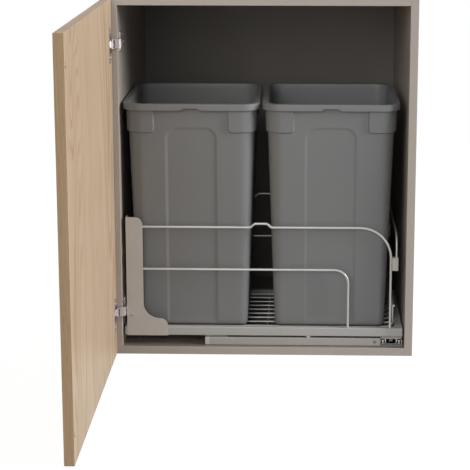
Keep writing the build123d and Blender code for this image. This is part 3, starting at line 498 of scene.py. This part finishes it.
def melamine(name, face, edge):
    """Melamine face with faint clouding, grain and a little dust; the front millimetre of a
    board is its edge band, and a thin dark seam stands behind it."""
    material, tree, shader, place = start_material(name)
    grain = use_group(tree, "grain", {"Vector": place, "Scale": 700.0})
    wear = use_group(tree, "wear", {"Vector": place, "Amount": 0.5})
    dust = use_group(tree, "dust", {"Vector": place, "Amount": 0.08})
    seam_tone, dust_tone = srgb(0.36, 0.33, 0.30), srgb(0.66, 0.63, 0.58)
    depth = along_axis(tree, place, 1)
    band = maths(tree, "LESS_THAN", depth, CARCASS_FRONT + BOARD_BAND)
    seam = maths(tree, "COMPARE", depth, CARCASS_FRONT + BOARD_SEAM[0], BOARD_SEAM[1])
    base = mix_colours(tree, band, opaque(face), opaque(edge))
    base = laid_over(tree, base, seam, 0.45, seam_tone)
    base = laid_over(tree, base, wear["Clouds"], 0.07, shaded(face, 0.8))
    base = mix_colours(tree, dust["Mask"], base, opaque(dust_tone))
    rough = raised_by(tree, 0.42, (wear["Clouds"], 0.12), (dust["Mask"], 0.4))
    tree.links.new(base, shader.inputs["Base Color"])
    tree.links.new(rough, shader.inputs["Roughness"])
    add_bump(tree, shader, grain["Height"], 0.05 * MM, 0.5)
    return material


def moulded_plastic(
    name, base_colour, plain_rough=0.45, grain_scale=1100.0, wear_amount=0.6, dust_amount=0.25
):
    """Mould grain with darker clouds, paler scuffs and a little dust on what faces up."""
    material, tree, shader, place = start_material(name)
    grain = use_group(tree, "grain", {"Vector": place, "Scale": grain_scale})
    wear = use_group(tree, "wear", {"Vector": place, "Amount": wear_amount})
    dust = use_group(tree, "dust", {"Vector": place, "Amount": dust_amount})
    scuff_tone = [min(1, c * 1.35 + 0.02) for c in base_colour]
    dust_tone = srgb(0.62, 0.60, 0.56)
    base = laid_over(
        tree, opaque(base_colour), wear["Clouds"], 0.22, shaded(base_colour, 0.82))
    base = laid_over(tree, base, wear["Scuffs"], 0.5, scuff_tone)
    base = mix_colours(tree, dust["Mask"], base, opaque(dust_tone))
    rough = raised_by(
        tree, plain_rough, (wear["Clouds"], 0.14), (wear["Scuffs"], 0.2), (dust["Mask"], 0.3))
    tree.links.new(base, shader.inputs["Base Color"])
    tree.links.new(rough, shader.inputs["Roughness"])
    shader.inputs["IOR"].default_value = 1.49
    add_bump(tree, shader, grain["Height"], 0.06 * MM, 0.6)
    return material


def coated_metal(
    name, base_colour, plain_rough=0.40, metallic=0.0, peel_scale=260.0, wear_amount=0.6
):
    """Powder coat: orange peel, faint clouds and scuffs, a little dust on what faces up."""
    material, tree, shader, place = start_material(name)
    grain = use_group(tree, "grain", {"Vector": place, "Scale": peel_scale})
    wear = use_group(tree, "wear", {"Vector": place, "Amount": wear_amount})
    dust = use_group(tree, "dust", {"Vector": place, "Amount": 0.2})
    dust_tone = srgb(0.64, 0.61, 0.56)
    base = laid_over(tree, opaque(base_colour), wear["Clouds"], 0.18, shaded(base_colour, 0.8))
    base = laid_over(tree, base, wear["Scuffs"], 0.35, shaded(base_colour, 0.62))
    base = mix_colours(tree, dust["Mask"], base, opaque(dust_tone))
    tree.links.new(base, shader.inputs["Base Color"])
    tree.links.new(
        raised_by(tree, plain_rough, (wear["Clouds"], 0.2)), shader.inputs["Roughness"])
    shader.inputs["Metallic"].default_value = metallic
    add_bump(tree, shader, grain["Height"], 0.04 * MM, 0.5)
    return material


def plated_metal(name, base_colour, plain_rough, stretch=(40.0, 900.0, 900.0)):
    """Plated steel with drawn lines and darker, duller clouds in the plating."""
    material, tree, shader, place = start_material(name)
    brush = use_group(tree, "brush", {"Vector": place, "Stretch": stretch})
    wear = use_group(tree, "wear", {"Vector": place, "Amount": 0.8})
    base = laid_over(tree, opaque(base_colour), wear["Clouds"], 0.35, shaded(base_colour, 0.68))
    rough = raised_by(tree, plain_rough, (brush["Mask"], 0.12), (wear["Clouds"], 0.16))
    tree.links.new(base, shader.inputs["Base Color"])
    tree.links.new(rough, shader.inputs["Roughness"])
    shader.inputs["Metallic"].default_value = 1.0
    add_bump(tree, shader, brush["Height"], 0.03 * MM, 0.4)
    return material


def clear_plastic(name, base_colour):
    """Soft buffer plastic, milky and dull where it has been touched."""
    material, tree, shader, place = start_material(name)
    grain = use_group(tree, "grain", {"Vector": place, "Scale": 2200.0})
    wear = use_group(tree, "wear", {"Vector": place, "Amount": 0.6})
    base = mix_colours(
        tree, wear["Clouds"], opaque(base_colour), opaque(shaded(base_colour, 0.9)))
    rough = maths(tree, "MULTIPLY_ADD", grain["Mask"], 0.12, 0.16)
    tree.links.new(base, shader.inputs["Base Color"])
    tree.links.new(rough, shader.inputs["Roughness"])
    shader.inputs["Transmission Weight"].default_value = 0.30
    shader.inputs["IOR"].default_value = 1.45
    add_bump(tree, shader, grain["Height"], 0.03 * MM, 0.4)
    return material


MATERIALS = {}


def finish(slot):
    """The material of a finish, made when it is first asked for: one of the record's slots,
    or a shade of one that stands on a few pieces only."""
    if slot not in MATERIALS:
        tint = bpy.context.scene.bin_cabinet_colours
        makers = {
            "door_wood": lambda: ash_wood(
                "ash_veneer", tint.ash_light, tint.ash_dark, tint.ash_edge),
            "carcass_board": lambda: melamine("melamine_board", tint.board, tint.board_edge),
            # The bottom board's darker melamine face is painted shade.
            "floor_board_painted_shade": lambda: melamine(
                "melamine_floor", tint.floor_board_painted_shade, tint.board_edge),
            "back_board": lambda: melamine("melamine_back", tint.back, tint.back),
            "bin_plastic": lambda: moulded_plastic("bin_polypropylene", tint.bin_grey),
            "white_plastic": lambda: moulded_plastic(
                "white_clip_plastic", tint.white, 0.35, 1500.0, 0.3, 0.15),
            "grey_plastic": lambda: moulded_plastic(
                "grey_lever_plastic", tint.grey, 0.42, 1500.0, 0.4, 0.2),
            "clear_plastic": lambda: clear_plastic("clear_buffer_plastic", tint.clear),
            "frame_coat": lambda: coated_metal("frame_powder_coat", tint.frame_coat),
            # The brackets' warmer, paler copy of the frame coat is painted warm light from the
            # door.
            "bracket_coat_painted_light": lambda: coated_metal("bracket_powder_coat", tint.bracket_coat_painted_light),
            "tie_coat": lambda: coated_metal("tie_rail_coat", tint.tie_coat),
            "wire_coat": lambda: coated_metal(
                "wire_coat", tint.wire_coat, 0.30, 0.45, 420.0, 0.4),
            "hinge_steel": lambda: plated_metal("nickel_plate", tint.nickel, 0.32),
            "zinc_screw": lambda: plated_metal(
                "zinc_plate", tint.zinc, 0.30, (300.0, 300.0, 300.0)),
            "runner_steel": lambda: plated_metal(
                "rolled_zinc_strip", tint.runner, 0.30, (900.0, 40.0, 900.0)),
        }
        MATERIALS[slot] = makers[slot]()
    return MATERIALS[slot]


def dress(*nodes, finish_name=None):
    """Gives CAD nodes a finish by its name, or else the one that the record names for them."""
    slots = {row["node"]: row["material_slot"] for row in frame["record"]["subparts"]}
    for node in nodes:
        piece = frame["nodes"][node]
        if not piece.material_slots:
            piece.data.materials.append(None)
        for place in piece.material_slots:
            place.material = finish(finish_name or slots[node])


# ------------------------------------------------------------------ bins

# In millimetres: half the width of the strips of close grid lines where a block and a panel
# turn, with the step in each strip.
BLOCK_STRIP, BLOCK_STEP = 2.6, 0.65
PANEL_STRIP, PANEL_STEP = 4.2, 0.7

# The underside from its middle out to the ring it stands on: the share of the step up that is
# left, and the share of the foot's outline.
BASE_STEP = 2.2 * MM
BASE_RINGS = (
    (1, 0), (1, 0.3), (1, 0.62), (1, 0.90), (0.9, 0.912), (0.5, 0.924), (0.1, 0.936), (0, 0.95),
)
INSIDE_FLOOR_SHARES = (0.93, 0.6, 0.3, 0)
SKIRT_CHAMFER = 0.5 * MM
QUARTER = np.pi / 2


def spread(*runs):
    """Sorted grid lines in metres from (from, to, step) runs in millimetres, ends kept."""
    lines = np.concatenate([
        np.linspace(start, end, max(2, round(abs(end - start) / step) + 1))
        for start, end, step in runs
    ])
    return np.unique(np.round(lines, 4)) * MM


def outline_columns(front_lines, side_lines, corner_steps=9):
    """Columns round a rounded rectangle. For each: the multipliers of its corner's centre, its
    outward direction, and (0 front or back, 1 side, 2 corner; share of the straight part)."""
    turn = np.linspace(0, QUARTER, corner_steps + 2)[1:-1]
    centres, ways, along = [], [], []
    for side in range(4):
        heading = (side - 1) * QUARTER
        way = np.array([np.cos(heading), np.sin(heading)])
        run = np.array([-way[1], way[0]])
        share = front_lines if side % 2 == 0 else side_lines
        centres.append(way + share[:, None] * run)
        ways.append(np.tile(way, (len(share), 1)))
        along.append(np.stack([np.full(len(share), side % 2), share], -1))
        centres.append(np.tile(way + run, (corner_steps, 1)))
        ways.append(np.stack([np.cos(heading + turn), np.sin(heading + turn)], -1))
        along.append(np.tile([2.0, 1.0], (corner_steps, 1)))
    return np.concatenate(centres), np.concatenate(ways), np.concatenate(along)


def build_bin(name, sizes):
    """The moulded bin as one closed skin. Each ring is a rounded rectangle at one level;
    its half sizes grow evenly from base to rim; corner blocks push it out and panels sink it in.
    The rings run from under the base up the outside, over the rim and down the inside."""
    low, high = (np.array(v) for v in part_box(name))
    middle = (low + high) / 2
    half = (high - low)[:2] / 2
    base, top = low[2], high[2]
    rim = top - sizes.rim_height
    panel_edge, panel_top = sizes.panel_width / 2, base + sizes.panel_height
    block_edge = [half[side] - sizes.body_inset - sizes.block_width for side in (0, 1)]
    block_foot = rim - sizes.block_height
    straight = [half[side] - sizes.base_inset - sizes.base_corner for side in (0, 1)]
    slope = (sizes.base_inset - sizes.body_inset) / (rim - base)

    def body(level, grown=0.0):
        """Half width, half depth and corner radius of the tapered body at a level."""
        out = slope * (level - base) + grown
        width, depth = half - sizes.base_inset + out
        return width, depth, sizes.base_corner + out

    def collar(inwards):
        """Half width, half depth and corner radius of the rim, drawn in from its outside."""
        return half[0] - inwards, half[1] - inwards, sizes.rim_corner - inwards

    def shares(side, runs):
        """Shares of a side's straight part where columns stand, close where a block turns."""
        block, end = block_edge[side] / MM, straight[side] / MM
        lines = spread(
            *runs, (runs[-1][1], block - BLOCK_STRIP, 7),
            (block - BLOCK_STRIP, block + BLOCK_STRIP, BLOCK_STEP),
            (block + BLOCK_STRIP, block + 11, 1.8), (block + 11, end, 5),
        ) / straight[side]
        return np.unique(np.concatenate([-lines, lines]))

    edge, arch = panel_edge / MM, (panel_edge - sizes.panel_round) / MM
    notch_end = sizes.notch_width / 2 / MM
    front_runs = [
        (0, notch_end - 9, 6), (notch_end - 9, notch_end + 3, 1), (notch_end + 3, arch, 3),
        (arch, edge - PANEL_STRIP, 1.8), (edge - PANEL_STRIP, edge + PANEL_STRIP, PANEL_STEP),
    ]
    side_runs = [(0, 10, 10)]
    centres, ways, along = outline_columns(shares(0, front_runs), shares(1, side_runs))

    crown, foot, collar_foot = ((v - base) / MM for v in (panel_top, block_foot, rim))
    wall_levels = base + spread(
        (sizes.base_round / MM, 30, 7), (30, crown - 26, 26),
        (crown - 26, foot - BLOCK_STRIP, 1.7),
        (foot - BLOCK_STRIP, foot + BLOCK_STRIP, BLOCK_STEP),
        (foot + BLOCK_STRIP, crown - PANEL_STRIP, 0.9),
        (crown - PANEL_STRIP, crown + PANEL_STRIP, PANEL_STEP),
        (crown + PANEL_STRIP, foot + 14, 1.8), (foot + 14, collar_foot, 5),
    )

    def relief(level, shape, blocks=1.0):
        """How far each column is pushed at a level: out by the corner blocks, in by the
        panels, each a smooth step of the distance into its outline."""
        width, depth, radius = shape
        on_front, in_corner = along[:, 0] == 0, along[:, 0] == 2
        across = np.abs(np.where(on_front, width - radius, depth - radius) * along[:, 1])
        block_side = np.where(along[:, 0] == 1, block_edge[1], block_edge[0])
        into_panel = np.where(
            on_front,
            in_box_corner(panel_edge - across, panel_top - level, sizes.panel_round), -1.0)
        into_block = np.where(
            in_corner, level - block_foot,
            in_box_corner(across - block_side, level - block_foot, sizes.block_round))
        above_base = smooth_step(
            (level - base - sizes.base_round * 0.4) / (sizes.base_round * 1.6))
        sunk = smooth_step(into_panel / (2 * sizes.panel_softness) + 0.5) * above_base
        raised = smooth_step(into_block / (2 * sizes.block_softness) + 0.5)
        return blocks * sizes.block_rise * raised - sizes.panel_depth * sunk

    def ring(shape, level, push=0.0):
        """Each column's corner centre plus its outward direction times radius and push."""
        width, depth, radius = shape
        reach = np.broadcast_to(radius + push, len(centres))[:, None]
        flat = centres * (width - radius, depth - radius) + ways * reach + middle[:2]
        return np.column_stack([flat, np.broadcast_to(level, len(flat))])

    def shrunk(shape, level, share):
        """A ring drawn towards its centre."""
        points = ring(shape, level)
        points[:, :2] = middle[:2] + (points[:, :2] - middle[:2]) * share
        return points

    # Underside and the round foot of the walls.
    foot_shape = body(base, -sizes.base_round)
    rings = [shrunk(foot_shape, base + BASE_STEP * rise, share) for rise, share in BASE_RINGS]
    foot_turns = np.linspace(0, QUARTER, 6)
    for turn in foot_turns:
        level = base + sizes.base_round * (1 - np.cos(turn))
        rings.append(ring(body(level, -sizes.base_round * (1 - np.sin(turn))), level))

    # Outside of the walls up to the underside of the rim's sheet.
    under = top - sizes.rim_sheet
    for level in (*wall_levels[1:], under):
        rings.append(ring(body(level), level, relief(level, body(level))))

    # Skirt of the rim, with the finger notch front and back.
    from_notch_end = sizes.notch_width / 2 - np.abs(along[:, 1]) * (half[0] - sizes.rim_corner)
    notch = (along[:, 0] == 0) * np.clip(from_notch_end / sizes.notch_slope, 0, 1)
    rings.append(ring(collar(sizes.rim_skirt), under))
    for inwards, up in (
        (sizes.rim_skirt, SKIRT_CHAMFER), (sizes.rim_skirt - SKIRT_CHAMFER, 0),
        (SKIRT_CHAMFER, 0), (0, SKIRT_CHAMFER),
    ):
        rings.append(ring(collar(inwards), rim + up + notch * sizes.notch_height))

    # Top of the rim, rounded on both sides.
    for turn in np.linspace(0, QUARTER, 5):
        rings.append(ring(
            collar(sizes.rim_round * (1 - np.cos(turn))),
            top - sizes.rim_round * (1 - np.sin(turn))))
    for turn in np.linspace(0, QUARTER, 4):
        wider = sizes.rim_round * (1 - np.sin(turn))
        rings.append(ring(
            [size + wider for size in body(top, -sizes.wall)],
            top - sizes.rim_round * (1 - np.cos(turn))))

    # Inside of the walls, its round foot and the floor.
    for level in wall_levels[::-1]:
        if level < top - 2 * sizes.rim_round:
            pushed = relief(level, body(level), blocks=0.0)
            rings.append(ring(body(level, -sizes.wall), level, pushed))
    inside_round = sizes.base_round - sizes.wall
    floor = base + sizes.wall
    for turn in foot_turns[::-1]:
        level = floor + inside_round * (1 - np.cos(turn))
        inwards = sizes.wall + inside_round * (1 - np.sin(turn))
        rings.append(ring(body(level, -inwards), level))
    inside_shape = body(floor, -sizes.wall - inside_round)
    rings += [shrunk(inside_shape, floor, share) for share in INSIDE_FLOOR_SHARES]
    return closed_shell(np.array(rings))


# ------------------------------------------------------------------ operators


def background_rays(tree):
    """1 for the camera, glossy and transmission rays, to which the background is white."""
    path = add_node(tree, "ShaderNodeLightPath").outputs
    mirrored = maths(tree, "MAXIMUM", path["Is Glossy Ray"], path["Is Transmission Ray"])
    return maths(tree, "MAXIMUM", path["Is Camera Ray"], mirrored)


class BuildStage(bpy.types.Operator):
    """Adds the pale floor, the lamps, the sky and the camera at the picture's angle"""

    bl_idname = "bin_cabinet.build_stage"
    bl_label = "Stage"

    def execute(self, context):
        settings = context.scene.bin_cabinet_stage
        self.add_floor(context, settings)
        for name, place, size, power in LAMPS:
            self.add_lamp(context, name, place, size, getattr(settings, power))
        self.make_sky(context, settings)
        self.add_camera(context)
        context.scene.view_settings.view_transform = "Standard"
        return {"FINISHED"}

    def add_floor(self, context, settings):
        corners = np.array([(-1, -1, 0), (1, -1, 0), (1, 1, 0), (-1, 1, 0)]) * FLOOR_REACH
        mesh = bpy.data.meshes.new("pale_floor")
        mesh.from_pydata((corners - (0, 0, FLOOR_GAP)).tolist(), [], [(0, 1, 2, 3)])
        mesh.materials.append(self.floor_material(settings))
        floor = bpy.data.objects.new("pale_floor", mesh)
        context.scene.collection.objects.link(floor)

    def floor_material(self, settings):
        """Grey with a glow near the cabinet, so that its shadow shows, and plain white far off."""
        material, tree, shader, place = start_material("pale_floor")
        tree.nodes.remove(shader)
        away = add_node(
            tree, "ShaderNodeVectorMath", {0: place}, operation="LENGTH").outputs["Value"]
        grey = remap(tree, away, *FLOOR_FADE, settings.floor_grey, 0.0)
        glow_strength = remap(tree, away, *FLOOR_FADE, settings.floor_glow, 1.0)
        diffuse = add_node(tree, "ShaderNodeBsdfDiffuse", {"Color": grey})
        glow = add_node(tree, "ShaderNodeEmission", {
            "Color": opaque((1, 1, 1)),
            "Strength": maths(tree, "MULTIPLY", background_rays(tree), glow_strength)})
        both = add_node(
            tree, "ShaderNodeAddShader", {0: diffuse.outputs[0], 1: glow.outputs[0]})
        tree.links.new(both.outputs[0], tree.nodes["Material Output"].inputs[0])
        return material

    def add_lamp(self, context, name, place, size, power):
        lamp = bpy.data.lights.new(name, "AREA")
        lamp.shape, lamp.size, lamp.energy = "DISK", size, power
        made = bpy.data.objects.new(name, lamp)
        made.location = place
        aim = Vector(LAMP_AIM) - Vector(place)
        made.rotation_euler = aim.to_track_quat("-Z", "Y").to_euler()
        context.scene.collection.objects.link(made)

    def make_sky(self, context, settings):
        """White where a ray shows the background, and the even light's strength elsewhere."""
        world = bpy.data.worlds.new("pale_sky")
        context.scene.world = world
        world.use_nodes = True
        tree = world.node_tree
        background = tree.nodes["Background"]
        strength = raised_by(tree, settings.sky, (background_rays(tree), 1 - settings.sky))
        background.inputs["Color"].default_value = opaque((1, 1, 1))
        tree.links.new(strength, background.inputs["Strength"])

    def add_camera(self, context):
        """Looks along yaw and pitch from its place, turned by roll about that line."""
        camera = bpy.data.cameras.new("picture_camera")
        camera.lens, camera.sensor_width = CAMERA_LENS, SENSOR_WIDTH
        camera.shift_x, camera.shift_y = CAMERA_SHIFT
        camera.clip_start, camera.clip_end = CAMERA_CLIP
        flat, rise = math.cos(CAMERA_PITCH), -math.sin(CAMERA_PITCH)
        ahead = Vector((math.sin(CAMERA_YAW) * flat, math.cos(CAMERA_YAW) * flat, rise))
        level = Vector((math.cos(CAMERA_YAW), -math.sin(CAMERA_YAW), 0))
        upright = level.cross(ahead)
        right = level * math.cos(CAMERA_ROLL) + upright * math.sin(CAMERA_ROLL)
        up = upright * math.cos(CAMERA_ROLL) - level * math.sin(CAMERA_ROLL)
        turned = Matrix((right, up, -ahead)).transposed().to_4x4()
        made = bpy.data.objects.new("picture_camera", camera)
        made.matrix_world = Matrix.Translation(CAMERA_PLACE) @ turned
        context.scene.collection.objects.link(made)
        context.scene.camera = made


class DressCarcass(bpy.types.Operator):
    """Finishes the carcass boards, the back and their screws and caps"""

    bl_idname = "bin_cabinet.dress_carcass"
    bl_label = "Carcass"

    def execute(self, context):
        dress("side_panel_left", "side_panel_right", "top_panel", "back_panel",
              "joint_screws", "screw_caps")
        # The bottom board gets the darker melamine face: painted shade on the floor inside the
        # cabinet.
        dress("bottom_panel", finish_name="floor_board_painted_shade")
        return {"FINISHED"}


class DressDoor(bpy.types.Operator):
    """Finishes the veneered door leaf and its buffers"""

    bl_idname = "bin_cabinet.dress_door"
    bl_label = "Door"

    def execute(self, context):
        dress("door_leaf", "door_bumpers")
        return {"FINISHED"}


class DressHinges(bpy.types.Operator):
    """Finishes both concealed hinges"""

    bl_idname = "bin_cabinet.dress_hinges"
    bl_label = "Hinges"

    def execute(self, context):
        dress(*[n for n in frame["nodes"] if n.startswith("hinge_")])
        return {"FINISHED"}


class DressRunners(bpy.types.Operator):
    """Finishes the ball runners, their levers, carriers and the tie rail"""

    bl_idname = "bin_cabinet.dress_runners"
    bl_label = "Runners"

    def execute(self, context):
        dress(*[n for n in frame["nodes"] if n.startswith((
            "runner_", "outer_", "inner_", "carrier_", "release_", "lever_", "tie_"))])
        dress("tie_rail", finish_name="tie_coat")
        return {"FINISHED"}


class DressFrame(bpy.types.Operator):
    """Finishes the pull out frame: rails, tubes, brackets and wires"""

    bl_idname = "bin_cabinet.dress_frame"
    bl_label = "Pull out frame"

    def execute(self, context):
        dress("front_rail", "rear_rail", "left_end_tube", "right_end_tube", "tube_end_caps",
              "front_long_wire", "front_short_wire", "rear_long_wire", "rear_short_wire",
              "floor_wires", "cross_wires", "end_hoop", "wire_clips")
        # The brackets get the warmer, paler copy of the frame coat: painted warm light from the
        # open door.
        dress("front_bracket", "rear_bracket", finish_name="bracket_coat_painted_light")
        dress("bracket_rivets", finish_name="zinc_screw")
        return {"FINISHED"}


class BuildBins(bpy.types.Operator):
    """Builds both moulded bins in place of their plain solids"""

    bl_idname = "bin_cabinet.build_bins"
    bl_label = "Bins"

    def execute(self, context):
        for name in ("left_bin", "right_bin"):
            points, faces = build_bin(name, context.scene.bin_cabinet_bins)
            add_piece(
                f"{name}_moulding", points, faces, name, finish("bin_plastic"),
                replaces=(name,))
        return {"FINISHED"}


OPERATORS = (
    BuildStage, DressCarcass, DressDoor, DressHinges, DressRunners, DressFrame, BuildBins,
)


class BinCabinetPanel(bpy.types.Panel):
    """Lists the steps that build the cabinet"""

    bl_idname = "VIEW3D_PT_bin_cabinet"
    bl_label = "Pull Out Bin Cabinet"
    bl_space_type = "VIEW_3D"
    bl_region_type = "UI"
    bl_category = "Bin Cabinet"

    def draw(self, context):
        for operator in OPERATORS:
            self.layout.operator(operator.bl_idname)
        for settings in (
            context.scene.bin_cabinet_bins, context.scene.bin_cabinet_colours,
            context.scene.bin_cabinet_stage,
        ):
            box = self.layout.box()
            for key in settings.__annotations__:
                box.prop(settings, key)


CLASSES = (BinSizes, FinishColours, StageSettings, *OPERATORS, BinCabinetPanel)


def register():
    for made in CLASSES:
        bpy.utils.register_class(made)
    bpy.types.Scene.bin_cabinet_bins = bpy.props.PointerProperty(type=BinSizes)
    bpy.types.Scene.bin_cabinet_colours = bpy.props.PointerProperty(type=FinishColours)
    bpy.types.Scene.bin_cabinet_stage = bpy.props.PointerProperty(type=StageSettings)


def unregister():
    del bpy.types.Scene.bin_cabinet_stage
    del bpy.types.Scene.bin_cabinet_colours
    del bpy.types.Scene.bin_cabinet_bins
    for made in reversed(CLASSES):
        bpy.utils.unregister_class(made)


def main():
    register()
    for operator in OPERATORS:
        getattr(bpy.ops.bin_cabinet, operator.bl_idname.split(".")[1])()


if __name__ == "__main__":
    main()
